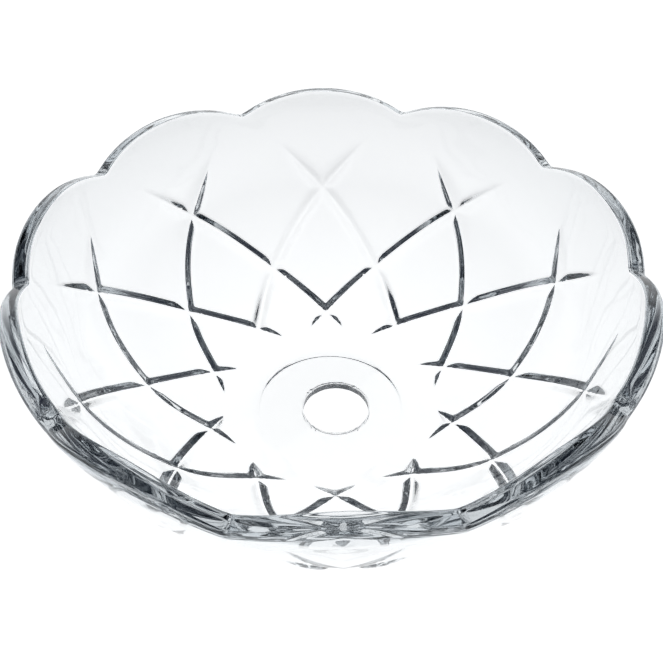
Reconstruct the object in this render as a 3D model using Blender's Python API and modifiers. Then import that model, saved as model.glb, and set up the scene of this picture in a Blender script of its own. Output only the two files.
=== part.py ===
"""Scalloped glass bowl with a diamond lattice of cut grooves and one centre hole.

One piece of clear pressed glass, in metres, standing on its flat base at Z = 0
with the axis of the bowl on +Z. The axis is also the axis of every pattern on it.
"""

from math import cos, pi, radians, sin, tan

import bmesh
import bpy
from mathutils import Vector

MM = 0.001

# Driving dimensions of the bowl.
RIM_RADIUS = 60.3 * MM        # outside radius of the wall at the notches
RIM_THICKNESS = 3.9 * MM
NOTCH_HEIGHT = 37.6 * MM      # height of the rim at the bottom of a notch
LOBES = 10
LOBE_RISE = 4.4 * MM          # how far the crest of a lobe stands above a notch
RIM_EASE = 1.2 * MM           # rounding along both edges of the rim
RIM_SLANT = radians(17)       # the inner edge of the rim stands above the outer one
WALL = 3.8 * MM               # wall thickness at mid height
BASE_RADIUS = 17.0 * MM       # flat ring that the bowl stands on
BASE_THICKNESS = 2.3 * MM

# Centre hole and the shallow washer seat around it.
HOLE_RADIUS = 6.9 * MM
HOLE_OFFSET = 1.2 * MM        # the hole is drilled a little off the axis, towards +X
SEAT_RADIUS = 15.0 * MM
SEAT_DEPTH = 0.4 * MM
PILOT_RADIUS = 3.0 * MM       # bore of the turned blank, cleared by the drill

# Diamond lattice: straight-sided V grooves that cross on three rings.
GROOVE_DEPTH = 1.3 * MM
SECOND_CUT = 0.96             # depth of the left-hand grooves, as a share of the right
GROOVE_WIDTH = 3.8 * MM
UPPER_RUNOUT = 13.0 * MM      # length over which the upper end rises to nothing
LOWER_RUNOUT = 8.0 * MM
GROOVE_START = 0.48           # ends of a groove, counted in rings below the notches
GROOVE_END = 3.42
RING_A = (52.5 * MM, 20.3 * MM, 1)    # radius, height, and half lobes turned so far
RING_B = (39.0 * MM, 7.7 * MM, 2)
RING_C = (26.7 * MM, 2.9 * MM, 3)
TURN_AT_BASE = 4.7

# Fineness of the facets.
TURN_STEPS = 60               # a multiple of LOBES
WALL_STEPS = 3                # straight facets between two control points
GROOVE_STATIONS = 18
CLEARANCE = 3.0 * MM          # how far each cutter runs past the glass
SHARP_ANGLE = radians(18)     # edges between facets sharper than this stay crisp

LOBE_ANGLE = 2 * pi / LOBES


def clear_scene():
    for old in list(bpy.data.objects):
        bpy.data.objects.remove(old)


def make_collection(name, hidden=False):
    made = bpy.data.collections.new(name)
    bpy.context.scene.collection.children.link(made)
    made.hide_render = hidden
    return made


def smooth_point(points, place):
    """The point at `place`, counted in control points, on a smooth curve through them."""
    padded = [points[0] * 2 - points[1], *points, points[-1] * 2 - points[-2]]
    index = min(int(place), len(points) - 2)
    t = place - index
    a, b, c, d = padded[index:index + 4]
    return 0.5 * (2 * b + (c - a) * t + (2 * a - 5 * b + 4 * c - d) * t**2
                  + (3 * b - a - 3 * c + d) * t**3)


def smooth_through(points, steps):
    """Points of that curve from its first control point to its last."""
    count = (len(points) - 1) * steps
    return [smooth_point(points, step / steps) for step in range(count + 1)]


def outside_points():
    """Control points of the outer wall, from above the crest down to the base.

    Each is (radius, height, half lobes that a groove has turned by there).
    """
    above = Vector((RIM_RADIUS + 0.2 * MM, NOTCH_HEIGHT + LOBE_RISE + CLEARANCE, -1))
    notch = Vector((RIM_RADIUS, NOTCH_HEIGHT, 0))
    base = Vector((BASE_RADIUS, 0, TURN_AT_BASE))
    return [above, notch, Vector(RING_A), Vector(RING_B), Vector(RING_C), base]


def outward(points, place):
    """Unit normal of the outer wall in the (radius, height) plane."""
    run = smooth_point(points, place + 0.01) - smooth_point(points, place - 0.01)
    return Vector((-run.y, run.x, 0)).normalized()


def inside_points():
    """Control points of the inner wall, set in by the thickness at each height."""
    outer = outside_points()
    thickness = [RIM_THICKNESS, RIM_THICKNESS, WALL, WALL, 0.8 * WALL]
    inner = []
    for index, thick in enumerate(thickness):
        inner.append(outer[index] - outward(outer, max(index, 0.01)) * thick)
    inner.append(Vector((SEAT_RADIUS + 1.5 * MM, BASE_THICKNESS, 0)))
    return inner


def blank_profile():
    """Closed section of the turned blank, down the outside and back up inside."""
    outer = smooth_through(outside_points(), WALL_STEPS)
    inner = smooth_through(inside_points(), WALL_STEPS)
    top = outer[0].y
    inner[0].y = top
    seat_floor = BASE_THICKNESS - SEAT_DEPTH
    base = [
        Vector((PILOT_RADIUS, 0, 0)),
        Vector((PILOT_RADIUS, seat_floor, 0)),
        Vector((SEAT_RADIUS, seat_floor, 0)),
        Vector((SEAT_RADIUS, BASE_THICKNESS, 0)),
    ]
    return outer + base + inner[::-1]


def turned(name, profile, steps, collection):
    """A closed profile of (radius, height) points turned about Z."""
    mesh = bpy.data.meshes.new(name)
    count = len(profile)
    points = [(p.x, 0, p.y) for p in profile]
    edges = [(i, (i + 1) % count) for i in range(count)]
    mesh.from_pydata(points, edges, [])
    turned_object = bpy.data.objects.new(name, mesh)
    collection.objects.link(turned_object)
    screw = turned_object.modifiers.new("turn", "SCREW")
    screw.steps = steps
    screw.render_steps = steps
    screw.use_merge_vertices = True
    screw.merge_threshold = 0.00001
    return turned_object


def rim_height(angle):
    """Height of the scalloped rim: an arch over each lobe, a crease at each notch."""
    across = (angle % LOBE_ANGLE) / LOBE_ANGLE * 2 - 1
    return NOTCH_HEIGHT + LOBE_RISE * (1 - across**2)


def loft(name, sections, closed, collection):
    """A solid through equal-sized sections, capped at both ends unless closed."""
    mesh = bmesh.new()
    rings = [[mesh.verts.new(p) for p in section] for section in sections]
    size = len(rings[0])
    pairs = list(zip(rings, rings[1:]))
    if closed:
        pairs.append((rings[-1], rings[0]))
    for here, there in pairs:
        for i in range(size):
            j = (i + 1) % size
            mesh.faces.new((here[i], here[j], there[j], there[i]))
    if not closed:
        mesh.faces.new(rings[0][::-1])
        mesh.faces.new(rings[-1])
    bmesh.ops.recalc_face_normals(mesh, faces=mesh.faces)
    data = bpy.data.meshes.new(name)
    mesh.to_mesh(data)
    mesh.free()
    made = bpy.data.objects.new(name, data)
    collection.objects.link(made)
    made.display_type = "WIRE"
    return made


def rim_cutter(collection):
    """Clears everything above the scalloped rim and eases both edges of it."""
    outer = RIM_RADIUS + 0.3 * MM
    inner = RIM_RADIUS - RIM_THICKNESS
    top = NOTCH_HEIGHT + LOBE_RISE + 2 * CLEARANCE
    ease = RIM_EASE
    level = [
        (outer + CLEARANCE / 2, -ease - CLEARANCE * 2),
        (outer, -ease),
        (outer - ease * 0.3, -ease * 0.3),
        (outer - ease, 0),
        (inner + ease, 0),
        (inner + ease * 0.3, -ease * 0.3),
        (inner, -ease),
        (inner - CLEARANCE / 2, -ease - CLEARANCE * 2),
    ]
    shape = [(r, rise + (outer - r) * tan(RIM_SLANT)) for r, rise in level]
    sections = []
    for step in range(TURN_STEPS):
        angle = 2 * pi * step / TURN_STEPS
        height = rim_height(angle)
        corners = [(r, height + rise) for r, rise in shape]
        corners += [(inner - CLEARANCE / 2, top), (outer + CLEARANCE / 2, top)]
        sections.append([(r * cos(angle), r * sin(angle), z) for r, z in corners])
    return loft("rim_cutter", sections, True, collection)


def groove_frame(place, notch_angle, hand):
    """Point and outward normal on a groove's path, `place` rings below its notch."""
    points = outside_points()
    here = smooth_point(points, place + 1)
    flat_normal = outward(points, place + 1)
    angle = notch_angle + hand * here.z * LOBE_ANGLE / 2
    around = Vector((cos(angle), sin(angle), 0))
    up = Vector((0, 0, 1))
    return around * here.x + up * here.y, around * flat_normal.x + up * flat_normal.y


def groove_cutter(name, notch_angle, hand, depth, collection):
    """A V-shaped bar that winds half a lobe for each ring and runs out at both ends."""
    frames = []
    for station in range(GROOVE_STATIONS + 1):
        share = station / GROOVE_STATIONS
        place = GROOVE_START + (GROOVE_END - GROOVE_START) * share
        frames.append(groove_frame(place, notch_angle, hand))
    reached = [0.0]
    for (here, _), (there, _) in zip(frames, frames[1:]):
        reached.append(reached[-1] + (there - here).length)

    slope = GROOVE_WIDTH / 2 / GROOVE_DEPTH
    lift = CLEARANCE / 2
    sections = []
    for index, (point, normal) in enumerate(frames):
        before = frames[max(index - 1, 0)][0]
        after = frames[min(index + 1, GROOVE_STATIONS)][0]
        side = normal.cross(after - before).normalized()
        from_top = reached[index] / UPPER_RUNOUT
        from_foot = (reached[-1] - reached[index]) / LOWER_RUNOUT
        rise = (1 - min(from_top, from_foot, 1.0)) ** 2
        sunk = depth * (1 - 1.2 * rise)
        spread = side * (sunk + lift) * slope
        top = point + normal * lift
        sections.append([point - normal * sunk, top + spread, top - spread])
    return loft(name, sections, False, collection)


def drill(collection):
    """The centre hole, a straight cylinder a little off the axis."""
    mesh = bmesh.new()
    bmesh.ops.create_cone(
        mesh,
        cap_ends=True,
        segments=48,
        radius1=HOLE_RADIUS,
        radius2=HOLE_RADIUS,
        depth=BASE_THICKNESS + 2 * CLEARANCE,
    )
    bmesh.ops.translate(mesh, verts=mesh.verts, vec=(HOLE_OFFSET, 0, BASE_THICKNESS / 2))
    data = bpy.data.meshes.new("drill")
    mesh.to_mesh(data)
    mesh.free()
    made = bpy.data.objects.new("drill", data)
    collection.objects.link(made)
    made.display_type = "WIRE"
    return made


def clear_glass():
    material = bpy.data.materials.new("clear_glass")
    material.use_nodes = True
    shader = material.node_tree.nodes["Principled BSDF"]
    shader.inputs["Base Color"].default_value = (0.96, 0.98, 0.98, 1)
    shader.inputs["Metallic"].default_value = 0.0
    shader.inputs["Roughness"].default_value = 0.02
    shader.inputs["IOR"].default_value = 1.52
    shader.inputs["Transmission Weight"].default_value = 1.0
    return material


def finish(bowl):
    """Keeps the cut shape as the bowl's own mesh, smooth between its sharp edges."""
    graph = bpy.context.evaluated_depsgraph_get()
    shaped = bpy.data.meshes.new_from_object(bowl.evaluated_get(graph))
    bowl.modifiers.clear()
    bowl.data = shaped
    shaped.materials.clear()
    shaped.materials.append(clear_glass())
    shaped.shade_smooth()
    shaped.set_sharp_from_angle(angle=SHARP_ANGLE)


def build():
    clear_scene()
    parts = make_collection("scalloped_glass_bowl")
    cutters = make_collection("cutters", hidden=True)

    bowl = turned("glass_bowl", blank_profile(), TURN_STEPS, parts)
    rim_cutter(cutters)
    drill(cutters)
    for lobe in range(LOBES):
        notch_angle = lobe * LOBE_ANGLE
        left_depth = GROOVE_DEPTH * SECOND_CUT
        groove_cutter(f"groove_left_{lobe:02d}", notch_angle, 1, left_depth, cutters)
        groove_cutter(f"groove_right_{lobe:02d}", notch_angle, -1, GROOVE_DEPTH, cutters)

    cut = bowl.modifiers.new("cut", "BOOLEAN")
    cut.operation = "DIFFERENCE"
    cut.solver = "EXACT"
    cut.operand_type = "COLLECTION"
    cut.collection = cutters

    finish(bowl)


build()
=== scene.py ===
"""Looks of the scalloped glass bowl: one fine mesh of clear pressed glass on a white table.

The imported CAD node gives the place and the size. The piece built here stands for it. It
has finer facets, rounded rim edges, slightly larger grooves with soft edges, and exact
surface normals, because clear glass shows every facet of a coarse mesh. Lengths are in
metres.
"""

import bpy
import numpy as np
from mathutils import Matrix, Vector
from mathutils.geometry import delaunay_2d_cdt


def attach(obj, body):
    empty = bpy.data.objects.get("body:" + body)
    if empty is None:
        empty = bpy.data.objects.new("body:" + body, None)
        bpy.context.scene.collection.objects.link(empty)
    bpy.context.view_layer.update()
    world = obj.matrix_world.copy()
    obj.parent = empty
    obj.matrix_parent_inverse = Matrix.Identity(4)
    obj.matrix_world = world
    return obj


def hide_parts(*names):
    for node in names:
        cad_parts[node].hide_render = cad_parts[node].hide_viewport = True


MM = 0.001
DEG = np.pi / 180

# The bowl, as in the CAD part.
RIM_RADIUS = 60.3 * MM
RIM_THICKNESS = 3.9 * MM
NOTCH_HEIGHT = 37.6 * MM
LOBES = 10
LOBE_RISE = 4.4 * MM
WALL = 3.8 * MM
BASE_RADIUS = 17.0 * MM
BASE_THICKNESS = 2.3 * MM
HOLE_RADIUS = 6.9 * MM
HOLE_OFFSET = 1.2 * MM
SEAT_RADIUS = 15.0 * MM
SEAT_DEPTH = 0.4 * MM
UPPER_RUNOUT = 13.0 * MM      # length over which a groove rises to nothing
LOWER_RUNOUT = 8.0 * MM
RUNOUT_RISE = 1.2             # rise at the very end, in groove depths
GROOVE_START = 0.48           # ends of a groove, counted in rings below the notches
GROOVE_END = 3.42
RING_A = (52.5 * MM, 20.3 * MM, 1)    # radius, height, half lobes turned so far
RING_B = (39.0 * MM, 7.7 * MM, 2)
RING_C = (26.7 * MM, 2.9 * MM, 3)
TURN_AT_BASE = 4.7
ABOVE_RIM = 3.0 * MM          # the wall profile runs on this far above the crests
TOP_LEAN = 0.2 * MM           # and leans out by this much there
RIM_SLANT = np.radians(17)    # the inner edge of the rim stands above the outer one

# Details that only the fine mesh has. Its grooves are cut 0.05 mm deeper and 0.1 mm wider
# than the CAD part's, to make up for their soft edges.
GROOVE_DEPTH = 1.35 * MM
GROOVE_WIDTH = 3.9 * MM
RIM_ROUND = 1.2 * MM          # rounding along the outer edge of the rim
INNER_ROUND = 0.7 * MM        # rounding along its inner edge
NOTCH_ROUND = 0.5 * MM        # rounding at the bottom of a notch
BOTTOM_ROUND = 0.15 * MM      # rounding at the bottom of a groove
EDGE_SOFT = 0.19 * MM         # softness of the edges and crossings of the grooves
SEAT_ROUND = 0.25 * MM        # half width of the slope into the washer seat
HOLE_CHAMFER = 0.30 * MM      # ground edge of the hole, before its chips
CHAMFER_SLOPE = 0.8           # depth of the ground edge, as a share of its width
CHIPS = 6
CHIP_SPREAD = (0.02, 0.07)    # half width of a chip, in radians round the hole
CHIP_WIDTH = (0.1, 0.35)      # how much a chip widens the ground edge, in mm
EDGE_WAVER = 0.07             # waviness of the ground edge, as a share of its width
BORE_WOBBLE = 0.012 * MM

# Fineness of the mesh.
FINE = 0.95 * MM              # spacing of points on the plain outer wall
GROOVE_STEP = 0.65 * MM       # spacing along a groove
GROOVE_OFFSETS = [0, 0.3 * MM, 0.8 * MM, 1.35 * MM, 1.85 * MM, 2.4 * MM]
CROSSING_STEP = 0.42 * MM     # spacing within CROSSING_REACH of a crossing
CROSSING_REACH = 3.0 * MM
COLUMNS = 20                  # columns in half a lobe
INNER_ROWS = 44
TABLE_STEP = 0.05 * MM
SMOOTH_OVER = 3.0 * MM        # length over which the wall's curvature is evened out
WELD = 0.001 * MM             # corners that round to the same multiple of it are joined

# What each metre of glass takes up is density times (1 - colour). It is set for the look
# of the long paths inside the rim, and is stronger than in real clear glass.
GLASS_IOR = 1.52
GLASS_COLOUR = (0.81, 0.83, 0.845, 1)
GLASS_DENSITY = 50

# Light, in shares of what the picture shows as white.
TABLE_GLOW = (1.0, 0.72)      # under the bowl, and well away from it
TABLE_FADE = (0.03, 0.16)     # distances from the axis between which it changes
TABLE_EDGE = 3.0              # half the side of the table
TABLE_DROP = 0.02 * MM
WALLS = (0.95, 0.96, 0.97)
CEILING = (0.036, 0.042, 0.056)
WALL_TOP, CEILING_START = 0.15, 0.5    # upward part of the direction that is looked in
BOUNCES = 24
MIRROR_BOUNCES = 16

# The camera looks down on the bowl from in front.
CAMERA_PITCH = 44.35 * DEG
CAMERA_YAW = 2.72 * DEG
CAMERA_ROLL = 0.63 * DEG
CAMERA_LENS = 59.35           # in mm, on a sensor 36 mm wide
CAMERA_PLACE = Vector((-7.247, -154.045, 174.990)) * MM

HALF_LOBE = np.pi / LOBES
GROOVE_SLOPE = GROOVE_DEPTH / (GROOVE_WIDTH / 2)


# ---------------------------------------------------------------- wall profiles

def smooth_points(points, places):
    """Points at `places`, counted in control points, on a smooth curve through them."""
    points = np.asarray(points, float)
    ends = 2 * points[[0, -1]] - points[[1, -2]]
    padded = np.vstack([ends[:1], points, ends[1:]])
    index = np.clip(places.astype(int), 0, len(points) - 2)
    t = (places - index)[:, None]
    a, b, c, d = (padded[index + k] for k in range(4))
    return 0.5 * (2 * b + (c - a) * t + (2 * a - 5 * b + 4 * c - d) * t**2
                  + (3 * b - a - 3 * c + d) * t**3)


def outside_controls():
    """Rows of (radius, height, half lobes a groove has turned), from the rim down."""
    return [
        (RIM_RADIUS + TOP_LEAN, NOTCH_HEIGHT + LOBE_RISE + ABOVE_RIM, -1),
        (RIM_RADIUS, NOTCH_HEIGHT, 0),
        RING_A,
        RING_B,
        RING_C,
        (BASE_RADIUS, 0, TURN_AT_BASE),
    ]


def inside_controls():
    """The inner wall, set in from the outer one by the thickness at each height."""
    outer = np.array(outside_controls(), float)
    thickness = [RIM_THICKNESS, RIM_THICKNESS, WALL, WALL, 0.8 * WALL]
    rows = []
    for index, thick in enumerate(thickness):
        place = max(index, 0.01)
        before, after = smooth_points(outer, np.array([place - 0.01, place + 0.01]))[:, :2]
        run = (after - before) / np.linalg.norm(after - before)
        radius, height = outer[index, :2] - np.array([-run[1], run[0]]) * thick
        rows.append((radius, height, 0))
    rows.append((SEAT_RADIUS + 1.5 * MM, BASE_THICKNESS, 0))
    return rows


def evened(values, width):
    """A table with its bends spread over `width` entries, its end slopes kept."""
    half = width // 2
    ramp = np.arange(1, half + 1)
    head = values[0] - ramp[::-1] * (values[1] - values[0])
    tail = values[-1] + ramp * (values[-1] - values[-2])
    kernel = np.hanning(2 * half + 3)[1:-1]
    return np.convolve(np.concatenate([head, values, tail]), kernel / kernel.sum(), "valid")


class Profile:
    """A wall section as tables over the length run along it, from the rim down."""

    def __init__(self, controls, last):
        places = np.linspace(0.05, last, 6000)
        curve = smooth_points(controls, places)
        steps = np.linalg.norm(np.diff(curve[:, :2], axis=0), axis=1)
        run = np.concatenate([[0], np.cumsum(steps)])
        self.end = run[-1]
        self.run = np.linspace(0, run[-1], int(run[-1] / TABLE_STEP) + 1)
        self.place = np.interp(self.run, run, places)
        width = int(SMOOTH_OVER / TABLE_STEP)
        table = [np.interp(self.run, run, curve[:, k]) for k in range(3)]
        self.radius_table, self.height_table, turn = (evened(t, width) for t in table)
        self.turn_table = turn * HALF_LOBE
        self.slope_r = np.gradient(self.radius_table, self.run)
        self.slope_z = np.gradient(self.height_table, self.run)
        self.slope_turn = np.gradient(self.turn_table, self.run)

    def at(self, table, run):
        return np.interp(run, self.run, table)

    def radius(self, run):
        return self.at(self.radius_table, run)

    def height(self, run):
        return self.at(self.height_table, run)

    def turn(self, run):
        return self.at(self.turn_table, run)

    def turning(self, run):
        return self.at(self.slope_turn, run)

    def direction(self, run):
        """(radial, upward) parts of the unit step towards the base."""
        step = np.stack([self.at(self.slope_r, run), self.at(self.slope_z, run)], -1)
        return step / np.linalg.norm(step, axis=-1, keepdims=True)

    def run_at_height(self, height):
        return np.interp(-height, -self.height_table, self.run)

    def run_at_place(self, place):
        return np.interp(place, self.place, self.run)


OUTER = Profile(outside_controls(), 5.0)
INNER = Profile(inside_controls(), 5.0)


def rim_height(angle):
    """Height of the rim `angle` from a notch: an arch over the lobe, a soft crease."""
    eased = np.hypot(angle * RIM_RADIUS, NOTCH_ROUND) - NOTCH_ROUND
    across = eased / RIM_RADIUS / HALF_LOBE - 1
    return NOTCH_HEIGHT + LOBE_RISE * (1 - across**2)


def rim_foot(angle):
    """Run on the outer wall at which the rounding of the rim starts."""
    return OUTER.run_at_height(rim_height(angle)) + RIM_ROUND


def rim_inner_corner(angle):
    """(radius, height) where the slanting top of the rim meets the inner wall."""
    run = OUTER.run_at_height(rim_height(angle))
    way = OUTER.direction(run)
    radius = OUTER.radius(run) + way[..., 1] * RIM_THICKNESS
    height = OUTER.height(run) + RIM_THICKNESS * np.tan(RIM_SLANT)
    return radius, height


def around(radius, height, angle):
    """Points in the row frame from cylindrical coordinates."""
    return np.stack([radius * np.cos(angle), radius * np.sin(angle), height], -1)


def unit(vectors):
    return vectors / np.linalg.norm(vectors, axis=-1, keepdims=True)


# ---------------------------------------------------------------- groove lattice
# Half a lobe, from a notch to the crest beside it, holds the whole pattern. The rest of
# the lattice is that half lobe mirrored and turned.

GROOVES = [(start, hand) for start in (-4, -2, 0, 2, 4) for hand in (-1, 1)]
STRETCHES = [(0, 1), (2, -1), (-2, 1), (4, -1)]  # the ones that cross the half lobe
TIP_RUN = OUTER.run_at_place(1 + GROOVE_START)
FOOT_RUN = OUTER.run_at_place(1 + GROOVE_END)
CROSSINGS = [np.interp(k * HALF_LOBE, OUTER.turn_table, OUTER.run) for k in (1, 2, 3)]
CROSSING_SIDES = [HALF_LOBE, 0.0, HALF_LOBE]


def cut_depth_table():
    """How deep the bottom of a groove lies, for each entry of the outer table."""
    length = np.sqrt(1 + (OUTER.radius_table * OUTER.slope_turn) ** 2)
    steps = (length[1:] + length[:-1]) / 2 * OUTER.run[1]
    along = np.concatenate([[0], np.cumsum(steps)])
    from_tip = along - np.interp(TIP_RUN, OUTER.run, along)
    from_foot = np.interp(FOOT_RUN, OUTER.run, along) - along
    near = np.minimum(from_tip / UPPER_RUNOUT, from_foot / LOWER_RUNOUT)
    rise = (1 - np.clip(near, -1, 1)) ** 2
    return GROOVE_DEPTH * (1 - RUNOUT_RISE * rise)


CUT_DEPTH = cut_depth_table()


def lateral(angle, run, start, hand):
    """Signed distance on the wall from a groove's line, and the run of its nearest point."""
    off = angle - start * HALF_LOBE - hand * OUTER.turn(run)
    turning = OUTER.turning(run)
    steep = np.sqrt(1 / OUTER.radius(run) ** 2 + turning**2)
    return off / steep, run + hand * turning * off / steep**2


def lattice_depth(angle, run):
    """Depth below the plain wall: V grooves with softened bottoms, edges and corners."""
    total = 0.0
    for start, hand in GROOVES:
        distance, nearest = lateral(angle, run, start, hand)
        fall = (np.hypot(distance, BOTTOM_ROUND) - BOTTOM_ROUND) * GROOVE_SLOPE
        depth = OUTER.at(CUT_DEPTH, nearest) - fall
        total = total + np.exp(np.maximum(depth / EDGE_SOFT, -30))
    return EDGE_SOFT * np.log1p(total)


def wall_point(angle, run):
    """Points of the grooved outer wall."""
    depth = lattice_depth(angle, run)
    way = OUTER.direction(run)
    radius = OUTER.radius(run) + way[..., 1] * depth
    height = OUTER.height(run) - way[..., 0] * depth
    return around(radius, height, angle)


def wall_normal(angle, run):
    small = 0.01 * MM
    turn = small / OUTER.radius(run)
    by_angle = wall_point(angle + turn, run) - wall_point(angle - turn, run)
    by_run = wall_point(angle, run + small) - wall_point(angle, run - small)
    return unit(np.cross(by_run, by_angle))


def distances(spots, others):
    """Distance on the wall from each (angle, run) spot to the nearest of the others."""
    radius = OUTER.radius(spots[:, 1])[:, None]
    across = (spots[:, :1] - others[None, :, 0]) * radius
    along = spots[:, 1:] - others[None, :, 1]
    return np.hypot(across, along).min(1)


def crossing_spots():
    return np.stack([CROSSING_SIDES, CROSSINGS], -1)


def side_spots(angle, top):
    """Points down one side of the half lobe, closer together beside a crossing."""
    runs = [top]
    beside = [run for side, run in zip(CROSSING_SIDES, CROSSINGS) if side == angle]
    while runs[-1] < OUTER.end:
        near = min(abs(runs[-1] - run) for run in beside) < CROSSING_REACH
        runs.append(runs[-1] + (CROSSING_STEP if near else FINE))
    runs = np.array(runs)
    runs = top + (runs - top) * (OUTER.end - top) / (runs[-1] - top)
    return np.stack([np.full(len(runs), angle), runs], -1)


def hexagons(step, low, high):
    """Staggered points over the half lobe, `step` apart on the wall."""
    spots = []
    for number, run in enumerate(np.arange(low, high, step * 0.87)):
        count = max(2, round(HALF_LOBE * float(OUTER.radius(run)) / step))
        angles = (np.arange(count) + (0.25 if number % 2 else 0.75)) / count * HALF_LOBE
        spots.append(np.stack([angles, np.full(count, run)], -1))
    return np.concatenate(spots)


def groove_spots():
    """Rows of points along each groove, closest together where its section bends."""
    spots = []
    for start, hand in STRETCHES:
        runs = np.arange(TIP_RUN, FOOT_RUN + GROOVE_STEP, GROOVE_STEP * 0.8)
        angle = start * HALF_LOBE + hand * OUTER.turn(runs)
        radius, turning = OUTER.radius(runs), OUTER.turning(runs)
        steep = np.sqrt(1 / radius**2 + turning**2)
        for offset in GROOVE_OFFSETS:
            for side in (-1, 1) if offset else (1,):
                shift = side * offset
                spots.append(np.stack([angle + shift / radius**2 / steep,
                                       runs - shift * hand * turning / steep], -1))
    return np.concatenate(spots)


def outer_half_lobe():
    """Triangles of the outer wall of half a lobe: corners and normals."""
    columns = np.linspace(0, HALF_LOBE, COLUMNS + 1)
    tops = rim_foot(columns)
    rim = np.stack([columns, tops], -1)
    foot = np.stack([columns, np.full(len(columns), OUTER.end)], -1)
    notch_side = side_spots(0.0, tops[0])
    crest_side = side_spots(HALF_LOBE, tops[-1])
    border = np.concatenate([rim[:-1], crest_side[:-1], foot[:0:-1], notch_side[:0:-1]])

    spots = border
    high, low = tops.min(), OUTER.end
    centres = crossing_spots()
    fine = hexagons(CROSSING_STEP, high, low)
    fine = fine[distances(fine, centres) < CROSSING_REACH]
    rows = groove_spots()
    rows = rows[distances(rows, centres) > CROSSING_REACH]
    coarse = hexagons(FINE, high, low)
    for more, gap in ((fine, 0.6 * CROSSING_STEP), (rows, 0.3 * MM), (coarse, 0.6 * FINE)):
        top = rim_foot(more[:, 0])
        inside = (more[:, 0] > 0) & (more[:, 0] < HALF_LOBE) & (more[:, 1] > top)
        more = more[inside & (more[:, 1] < OUTER.end)]
        spots = np.concatenate([spots, more[distances(more, spots) > gap]])

    # Triangles keep their shape on the wall in coordinates that are stretched alike.
    stretched = np.interp(spots[:, 1], OUTER.run, CONFORMAL)
    flat = [Vector((a, y)) for a, y in zip(spots[:, 0], stretched)]
    count = len(border)
    edges = [(i, (i + 1) % count) for i in range(count)]
    found = delaunay_2d_cdt(flat, edges, [], 1, 1e-7)
    origin = np.array([ids[0] for ids in found[3]])
    faces = origin[np.array([list(face) for face in found[2]])]
    angle, run = spots.T
    return facing_out(wall_point(angle, run)[faces], wall_normal(angle, run)[faces])


CONFORMAL = np.concatenate([[0], np.cumsum(
    np.diff(OUTER.run) * 2 / (OUTER.radius_table[1:] + OUTER.radius_table[:-1]))])


def facing_out(corners, normals):
    """Triangles with their corners in the order that faces along their normals."""
    facing = np.cross(corners[:, 1] - corners[:, 0], corners[:, 2] - corners[:, 0])
    back = (facing * normals.sum(1)).sum(1) < 0
    corners[back] = corners[back][:, ::-1]
    normals[back] = normals[back][:, ::-1]
    return corners, normals


# ---------------------------------------------------------------- rim, inner wall, seat

def bezier(points, t):
    a, b, c, d = points
    return a * (1 - t)**3 + 3 * b * t * (1 - t)**2 + 3 * c * t**2 * (1 - t) + d * t**3


def rim_section(angle, place):
    """(radius, height) on the rim; place runs 0 to 1 outer edge, to 2 top, to 3 inner."""
    outer_run = rim_foot(angle)
    outer_foot = np.stack([OUTER.radius(outer_run), OUTER.height(outer_run)], -1)
    outer_corner = outer_foot - OUTER.direction(outer_run) * RIM_ROUND
    inner_corner = np.stack(rim_inner_corner(angle), -1)
    inner_run = INNER.run_at_height(inner_corner[..., 1]) + INNER_ROUND
    inner_foot = np.stack([INNER.radius(inner_run), INNER.height(inner_run)], -1)
    inner_corner = inner_foot - INNER.direction(inner_run) * INNER_ROUND
    across = unit(inner_corner - outer_corner)
    outer_top = outer_corner + across * RIM_ROUND
    inner_top = inner_corner - across * INNER_ROUND
    hold = 0.5523

    def rounded(foot, corner, flat, t):
        return bezier((foot, foot + (corner - foot) * hold,
                       flat + (corner - flat) * hold, flat), t)

    t = np.asarray(place)[..., None]
    first = rounded(outer_foot, outer_corner, outer_top, np.clip(t, 0, 1))
    middle = outer_top + (inner_top - outer_top) * np.clip(t - 1, 0, 1)
    third = rounded(inner_foot, inner_corner, inner_top, 1 - np.clip(t - 2, 0, 1))
    return np.where(t <= 1, first, np.where(t <= 2, middle, third))


def rim_patch():
    """Grid of points and normals over the rim of half a lobe."""
    angle = np.linspace(0, HALF_LOBE, COLUMNS + 1)[None, :]
    steps = 7
    round_off = np.linspace(0, 1, steps + 1)
    place = np.concatenate([round_off, [1.33, 1.67], 2 + round_off])[:, None]
    angle, place = np.broadcast_arrays(angle, place)

    def point(d_angle, d_place):
        section = rim_section(angle + d_angle, np.clip(place + d_place, 0, 3))
        return around(section[..., 0], section[..., 1], angle + d_angle)

    # The step stays on one side of a join between two stretches of the section.
    by_angle = point(1e-4, 0) - point(-1e-4, 0)
    by_place = point(0, 1e-3) - point(0, -1e-3)
    return point(0, 0), unit(np.cross(by_angle, by_place))


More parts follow.
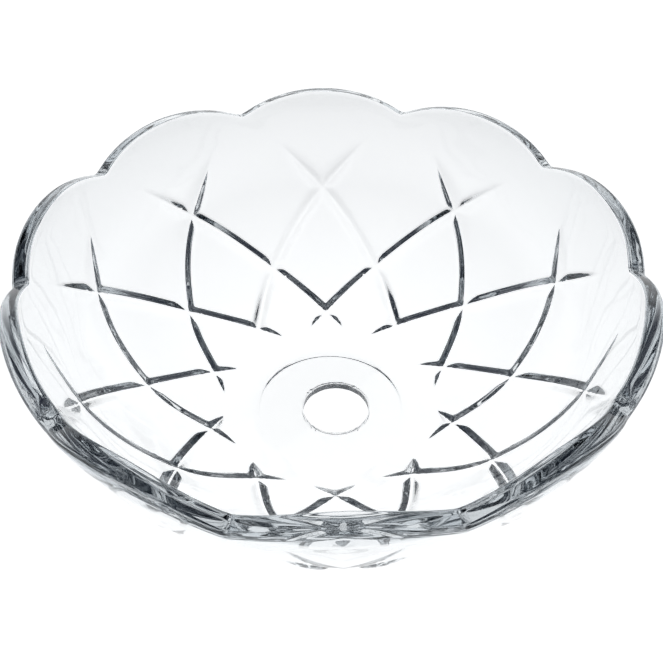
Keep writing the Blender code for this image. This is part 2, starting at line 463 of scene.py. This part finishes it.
def inner_patch():
    """Grid over the inner wall of half a lobe, down to the floor of the seat."""
    angle = np.linspace(0, HALF_LOBE, COLUMNS + 1)
    start = INNER.run_at_height(rim_inner_corner(angle)[1]) + INNER_ROUND
    share = np.linspace(0, 1, INNER_ROWS + 1)[:, None]
    run = start[None, :] * (1 - share) + INNER.end * share
    way = INNER.direction(run)
    points = around(INNER.radius(run), INNER.height(run), angle[None, :])
    normals = around(way[..., 1], -way[..., 0], angle[None, :])

    end = INNER.end
    join = float(INNER.radius(end))
    radii = np.concatenate([
        np.linspace(join, SEAT_RADIUS + SEAT_ROUND, 3)[1:],
        SEAT_RADIUS + SEAT_ROUND * np.cos(np.linspace(0, np.pi, 11)[1:]),
        [SEAT_RADIUS - 2 * SEAT_ROUND],
    ])
    t = np.clip((radii - SEAT_RADIUS + SEAT_ROUND) / (2 * SEAT_ROUND), 0, 1)
    floor = BASE_THICKNESS - SEAT_DEPTH
    height = floor + SEAT_DEPTH * t * t * (3 - 2 * t)
    height += (float(INNER.height(end)) - BASE_THICKNESS) * (radii > SEAT_RADIUS + SEAT_ROUND)
    rise = SEAT_DEPTH * 6 * t * (1 - t) / (2 * SEAT_ROUND)
    step_points = around(radii[:, None], height[:, None] + 0 * angle, angle[None, :])
    step_normals = unit(around(-rise[:, None], 1 + 0 * angle[None, :] + 0 * rise[:, None],
                               angle[None, :]))
    return [(points, normals), (np.concatenate([points[-1:], step_points]),
                                np.concatenate([step_normals[:1], step_normals]))]


# ---------------------------------------------------------------- base and hole

def chips():
    """Width of the ground edge of the hole at each angle, with its small chips."""
    draw = np.random.default_rng(7)
    angle = np.linspace(0, 2 * np.pi, 2 * LOBES * COLUMNS + 1)[:-1]
    width = np.full(angle.shape, HOLE_CHAMFER)
    for wave in range(3, 60):
        shift = draw.uniform(0, 2 * np.pi)
        width += HOLE_CHAMFER * EDGE_WAVER / wave**0.5 * np.sin(wave * angle + shift)
    for _ in range(CHIPS):
        centre, spread = draw.uniform(0, 2 * np.pi), draw.uniform(*CHIP_SPREAD)
        off = (angle - centre + np.pi) % (2 * np.pi) - np.pi
        width += draw.uniform(*CHIP_WIDTH) * MM * np.exp(-((off / spread) ** 2))
    return np.clip(width, 0.12 * MM, 1.1 * MM)


def base_patches():
    """Seat floor, hole and underside as closed grids round the axis."""
    count = 2 * LOBES * COLUMNS
    angle = np.arange(count) * 2 * np.pi / count
    floor = BASE_THICKNESS - SEAT_DEPTH
    hole = np.stack([np.cos(angle), np.sin(angle)], -1)
    centre = np.array([HOLE_OFFSET, 0])

    def ring(plan, height):
        return np.concatenate([plan, np.broadcast_to(height, (count,))[:, None]], 1)

    def grid(*rows):
        return np.stack(rows)

    upper, lower = chips(), np.roll(chips(), 97) * 0.8
    seat_edge = (SEAT_RADIUS - 2 * SEAT_ROUND) * hole
    top_edge = centre + (HOLE_RADIUS + upper[:, None]) * hole
    low_edge = centre + (HOLE_RADIUS + lower[:, None]) * hole
    bore = centre + HOLE_RADIUS * hole
    base_edge = float(OUTER.radius(OUTER.end)) * hole
    foot = float(OUTER.height(OUTER.end))

    seat = [ring(seat_edge * (1 - t) + top_edge * t, floor) for t in np.linspace(0, 1, 7)]
    draw = np.random.default_rng(11)
    top_chip = [ring(top_edge * (1 - t) + bore * t, floor - upper * CHAMFER_SLOPE * t**0.7)
                for t in np.linspace(0, 1, 5)]
    top_bore = floor - upper * CHAMFER_SLOPE
    low_bore = foot + lower * CHAMFER_SLOPE
    bore_rows = []
    for t in np.linspace(0, 1, 9):
        wobble = draw.normal(0, BORE_WOBBLE, count) * (0 < t < 1)
        plan = centre + (HOLE_RADIUS + wobble[:, None]) * hole
        bore_rows.append(ring(plan, top_bore * (1 - t) + low_bore * t))
    low_chip = [ring(bore * (1 - t) + low_edge * t,
                     low_bore * (1 - t)**0.7 + foot * (1 - (1 - t)**0.7))
                for t in np.linspace(0, 1, 5)]
    under = [ring(low_edge * (1 - t) + base_edge * t, foot) for t in np.linspace(0, 1, 9)]
    return [(grid(*seat), 0), (grid(*top_chip), 1), (grid(*bore_rows), 1),
            (grid(*low_chip), 1), (grid(*under), 0)]


def closed_normals(points):
    """Normals of a grid that closes round the axis, from its neighbours."""
    turned = np.roll(points, -1, 1) - np.roll(points, 1, 1)
    across = np.gradient(points, axis=0)
    return unit(np.cross(turned, across))


# ---------------------------------------------------------------- mesh

class Soup:
    """Faces with their own corner points and normals, welded at the end."""

    def __init__(self):
        self.corners = []
        self.normals = []
        self.slots = []

    def add(self, corners, normals, slot=0):
        self.corners.append(corners)
        self.normals.append(normals)
        self.slots.append(np.full(len(corners), slot))

    def grid(self, points, normals, closed, slot=0):
        """Two triangles for each cell of a grid, turned to face along the normals."""
        if closed:
            points = np.concatenate([points, points[:, :1]], 1)
            normals = np.concatenate([normals, normals[:, :1]], 1)
        corners, ways = [], []
        for pick in (((0, 0), (0, 1), (1, 1)), ((0, 0), (1, 1), (1, 0))):
            rows, columns = points.shape[0] - 1, points.shape[1] - 1
            corners.append(np.stack([points[i:i + rows, j:j + columns] for i, j in pick], 2))
            ways.append(np.stack([normals[i:i + rows, j:j + columns] for i, j in pick], 2))
        corners = np.concatenate([c.reshape(-1, 3, 3) for c in corners])
        ways = np.concatenate([w.reshape(-1, 3, 3) for w in ways])
        self.add(*facing_out(corners, ways), slot)

    def all_round(self, corners, normals, slot=0):
        """The faces of half a lobe, mirrored and turned into the whole bowl."""
        mirror = np.array([1, -1, 1])
        for lobe in range(LOBES):
            turn = 2 * HALF_LOBE * lobe
            c, s = np.cos(turn), np.sin(turn)
            matrix = np.array([[c, -s, 0], [s, c, 0], [0, 0, 1]]).T
            self.add(corners @ matrix, normals @ matrix, slot)
            flipped = (corners * mirror)[:, ::-1] @ matrix
            self.add(flipped, (normals * mirror)[:, ::-1] @ matrix, slot)

    def to_object(self, name, materials):
        corners = np.concatenate(self.corners)
        normals = np.concatenate(self.normals)
        slots = np.concatenate(self.slots)
        flat = corners.reshape(-1, 3)
        _, first, index = np.unique(np.round(flat / WELD).astype(np.int64), axis=0,
                                    return_index=True, return_inverse=True)
        faces = index.reshape(-1, 3)
        whole = ((faces[:, 0] != faces[:, 1]) & (faces[:, 1] != faces[:, 2])
                 & (faces[:, 0] != faces[:, 2]))
        faces, normals, slots = faces[whole], normals[whole], slots[whole]
        mesh = bpy.data.meshes.new(name)
        mesh.from_pydata(flat[first], [], faces.tolist())
        for material in materials:
            mesh.materials.append(material)
        mesh.polygons.foreach_set("material_index", slots.astype(np.int32))
        mesh.shade_smooth()
        mesh.normals_split_custom_set(normals.reshape(-1, 3).tolist())
        mesh.update()
        made = bpy.data.objects.new(name, mesh)
        bpy.context.scene.collection.objects.link(made)
        return made


def build_bowl(materials):
    soup = Soup()
    soup.all_round(*outer_half_lobe())
    wedge = Soup()
    wedge.grid(*rim_patch(), closed=False)
    for points, normals in inner_patch():
        wedge.grid(points, normals, closed=False)
    for corners, normals in zip(wedge.corners, wedge.normals):
        soup.all_round(corners, normals)
    for points, slot in base_patches():
        soup.grid(points, closed_normals(points), closed=True, slot=slot)
    return soup.to_object("cut_glass_bowl", materials)


# ---------------------------------------------------------------- materials

def new_material(name):
    material = bpy.data.materials.new(name)
    material.use_nodes = True
    return material, material.node_tree.nodes, material.node_tree.links


def clear_glass():
    """Pressed glass: a trace of grey green, faint waves and handling haze."""
    material, nodes, links = new_material("clear_pressed_glass")
    shader = nodes["Principled BSDF"]
    shader.inputs["Transmission Weight"].default_value = 1.0
    shader.inputs["IOR"].default_value = GLASS_IOR
    where = nodes.new("ShaderNodeTexCoord")

    tint = nodes.new("ShaderNodeTexNoise")
    tint.inputs["Scale"].default_value = 22
    tint.inputs["Detail"].default_value = 2
    links.new(where.outputs["Object"], tint.inputs["Vector"])
    colour = nodes.new("ShaderNodeValToRGB")
    colour.color_ramp.elements[0].color = (0.97, 0.985, 0.99, 1)
    colour.color_ramp.elements[1].color = (0.99, 0.995, 0.995, 1)
    links.new(tint.outputs["Fac"], colour.inputs["Fac"])
    links.new(colour.outputs["Color"], shader.inputs["Base Color"])

    haze = nodes.new("ShaderNodeTexNoise")
    haze.inputs["Scale"].default_value = 90
    haze.inputs["Detail"].default_value = 5
    links.new(where.outputs["Object"], haze.inputs["Vector"])
    rough = nodes.new("ShaderNodeMapRange")
    rough.inputs["From Min"].default_value = 0.45
    rough.inputs["From Max"].default_value = 0.8
    rough.inputs["To Min"].default_value = 0.0
    rough.inputs["To Max"].default_value = 0.05
    links.new(haze.outputs["Fac"], rough.inputs["Value"])
    links.new(rough.outputs["Result"], shader.inputs["Roughness"])

    waves = nodes.new("ShaderNodeTexNoise")
    waves.inputs["Scale"].default_value = 110
    waves.inputs["Detail"].default_value = 1
    links.new(where.outputs["Object"], waves.inputs["Vector"])
    bump = nodes.new("ShaderNodeBump")
    bump.inputs["Strength"].default_value = 1.0
    bump.inputs["Distance"].default_value = 0.00006
    links.new(waves.outputs["Fac"], bump.inputs["Height"])
    links.new(bump.outputs["Normal"], shader.inputs["Normal"])
    tinted_through(nodes, links)
    return material


def tinted_through(nodes, links):
    """The glass takes up a little light along its depth, so long paths look slate."""
    depth = nodes.new("ShaderNodeVolumeAbsorption")
    depth.inputs["Color"].default_value = GLASS_COLOUR
    depth.inputs["Density"].default_value = GLASS_DENSITY
    links.new(depth.outputs["Volume"], nodes["Material Output"].inputs["Volume"])


def ground_glass():
    """The drilled hole: the same glass with a ground, pitted surface."""
    material, nodes, links = new_material("ground_hole_glass")
    shader = nodes["Principled BSDF"]
    shader.inputs["Transmission Weight"].default_value = 1.0
    shader.inputs["IOR"].default_value = GLASS_IOR
    shader.inputs["Base Color"].default_value = (0.93, 0.95, 0.96, 1)
    where = nodes.new("ShaderNodeTexCoord")
    pits = nodes.new("ShaderNodeTexNoise")
    pits.inputs["Scale"].default_value = 1500
    pits.inputs["Detail"].default_value = 3
    links.new(where.outputs["Object"], pits.inputs["Vector"])
    rough = nodes.new("ShaderNodeMapRange")
    rough.inputs["To Min"].default_value = 0.05
    rough.inputs["To Max"].default_value = 0.45
    links.new(pits.outputs["Fac"], rough.inputs["Value"])
    links.new(rough.outputs["Result"], shader.inputs["Roughness"])
    bump = nodes.new("ShaderNodeBump")
    bump.inputs["Strength"].default_value = 1.0
    bump.inputs["Distance"].default_value = 0.00008
    links.new(pits.outputs["Fac"], bump.inputs["Height"])
    links.new(bump.outputs["Normal"], shader.inputs["Normal"])
    tinted_through(nodes, links)
    return material


# ---------------------------------------------------------------- studio

def white_floor():
    """A white table that glows, a little less away from the bowl, and casts no shadow."""
    material, nodes, links = new_material("white_table")
    shader = nodes["Principled BSDF"]
    shader.inputs["Base Color"].default_value = (0.8, 0.8, 0.8, 1)
    shader.inputs["Roughness"].default_value = 0.9
    shader.inputs["Specular IOR Level"].default_value = 0.0
    shader.inputs["Emission Color"].default_value = (1, 1, 1, 1)
    where = nodes.new("ShaderNodeTexCoord")
    far = nodes.new("ShaderNodeVectorMath")
    far.operation = "LENGTH"
    links.new(where.outputs["Object"], far.inputs[0])
    fall = nodes.new("ShaderNodeMapRange")
    fall.interpolation_type = "SMOOTHSTEP"
    fall.inputs["From Min"].default_value = TABLE_FADE[0]
    fall.inputs["From Max"].default_value = TABLE_FADE[1]
    fall.inputs["To Min"].default_value = TABLE_GLOW[0]
    fall.inputs["To Max"].default_value = TABLE_GLOW[1]
    links.new(far.outputs["Value"], fall.inputs["Value"])
    path = nodes.new("ShaderNodeLightPath")
    glow = nodes.new("ShaderNodeMix")
    glow.inputs["B"].default_value = 1.0
    links.new(path.outputs["Is Camera Ray"], glow.inputs["Factor"])
    links.new(fall.outputs["Result"], glow.inputs["A"])
    links.new(glow.outputs["Result"], shader.inputs["Emission Strength"])
    mesh = bpy.data.meshes.new("table")
    edge = TABLE_EDGE
    corners = [(-edge, -edge, 0), (edge, -edge, 0), (edge, edge, 0), (-edge, edge, 0)]
    mesh.from_pydata(corners, [], [(0, 1, 2, 3)])
    mesh.materials.append(material)
    table = bpy.data.objects.new("table", mesh)
    table.location.z = -TABLE_DROP
    bpy.context.scene.collection.objects.link(table)


def studio_light():
    """White walls near the table's height under a dark ceiling; a white backdrop."""
    world = bpy.data.worlds.new("studio")
    bpy.context.scene.world = world
    world.use_nodes = True
    nodes, links = world.node_tree.nodes, world.node_tree.links
    nodes.clear()
    out = nodes.new("ShaderNodeOutputWorld")
    mix = nodes.new("ShaderNodeMixShader")
    path = nodes.new("ShaderNodeLightPath")
    room = nodes.new("ShaderNodeBackground")
    seen = nodes.new("ShaderNodeBackground")
    seen.inputs["Color"].default_value = (1, 1, 1, 1)
    where = nodes.new("ShaderNodeTexCoord")
    split = nodes.new("ShaderNodeSeparateXYZ")
    ramp = nodes.new("ShaderNodeValToRGB")
    links.new(where.outputs["Generated"], split.inputs["Vector"])
    links.new(split.outputs["Z"], ramp.inputs["Fac"])
    stops = ramp.color_ramp
    stops.elements[0].position = WALL_TOP
    stops.elements[0].color = (*WALLS, 1)
    stops.elements[1].position = CEILING_START
    stops.elements[1].color = (*CEILING, 1)
    links.new(ramp.outputs["Color"], room.inputs["Color"])
    links.new(path.outputs["Is Camera Ray"], mix.inputs["Fac"])
    links.new(room.outputs["Background"], mix.inputs[1])
    links.new(seen.outputs["Background"], mix.inputs[2])
    links.new(mix.outputs["Shader"], out.inputs["Surface"])


def front_camera():
    """A camera that looks down on the bowl from in front."""
    pitch, yaw, roll = CAMERA_PITCH, CAMERA_YAW, CAMERA_ROLL
    forward = Vector((np.sin(yaw) * np.cos(pitch), np.cos(yaw) * np.cos(pitch), -np.sin(pitch)))
    level = Vector((np.cos(yaw), -np.sin(yaw), 0))
    upright = level.cross(forward)
    right = level * np.cos(roll) + upright * np.sin(roll)
    up = upright * np.cos(roll) - level * np.sin(roll)
    data = bpy.data.cameras.new("camera")
    data.sensor_width = 36
    data.lens = CAMERA_LENS
    data.clip_start = 0.01
    camera = bpy.data.objects.new("camera", data)
    turn = Matrix((right, up, -forward)).transposed().to_4x4()
    camera.matrix_world = Matrix.Translation(CAMERA_PLACE) @ turn
    bpy.context.scene.collection.objects.link(camera)
    bpy.context.scene.camera = camera


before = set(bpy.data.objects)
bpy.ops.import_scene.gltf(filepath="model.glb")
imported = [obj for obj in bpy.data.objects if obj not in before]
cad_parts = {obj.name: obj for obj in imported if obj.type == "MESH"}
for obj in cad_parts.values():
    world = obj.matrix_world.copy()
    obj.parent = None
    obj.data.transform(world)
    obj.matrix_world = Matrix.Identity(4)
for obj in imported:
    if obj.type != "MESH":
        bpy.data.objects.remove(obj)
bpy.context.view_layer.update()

bowl = build_bowl([clear_glass(), ground_glass()])
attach(bowl, "root")
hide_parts("glass_bowl")

white_floor()
studio_light()
front_camera()
bpy.context.scene.view_settings.view_transform = "Standard"
bpy.context.scene.cycles.max_bounces = BOUNCES
bpy.context.scene.cycles.glossy_bounces = MIRROR_BOUNCES
bpy.context.scene.cycles.transmission_bounces = BOUNCES
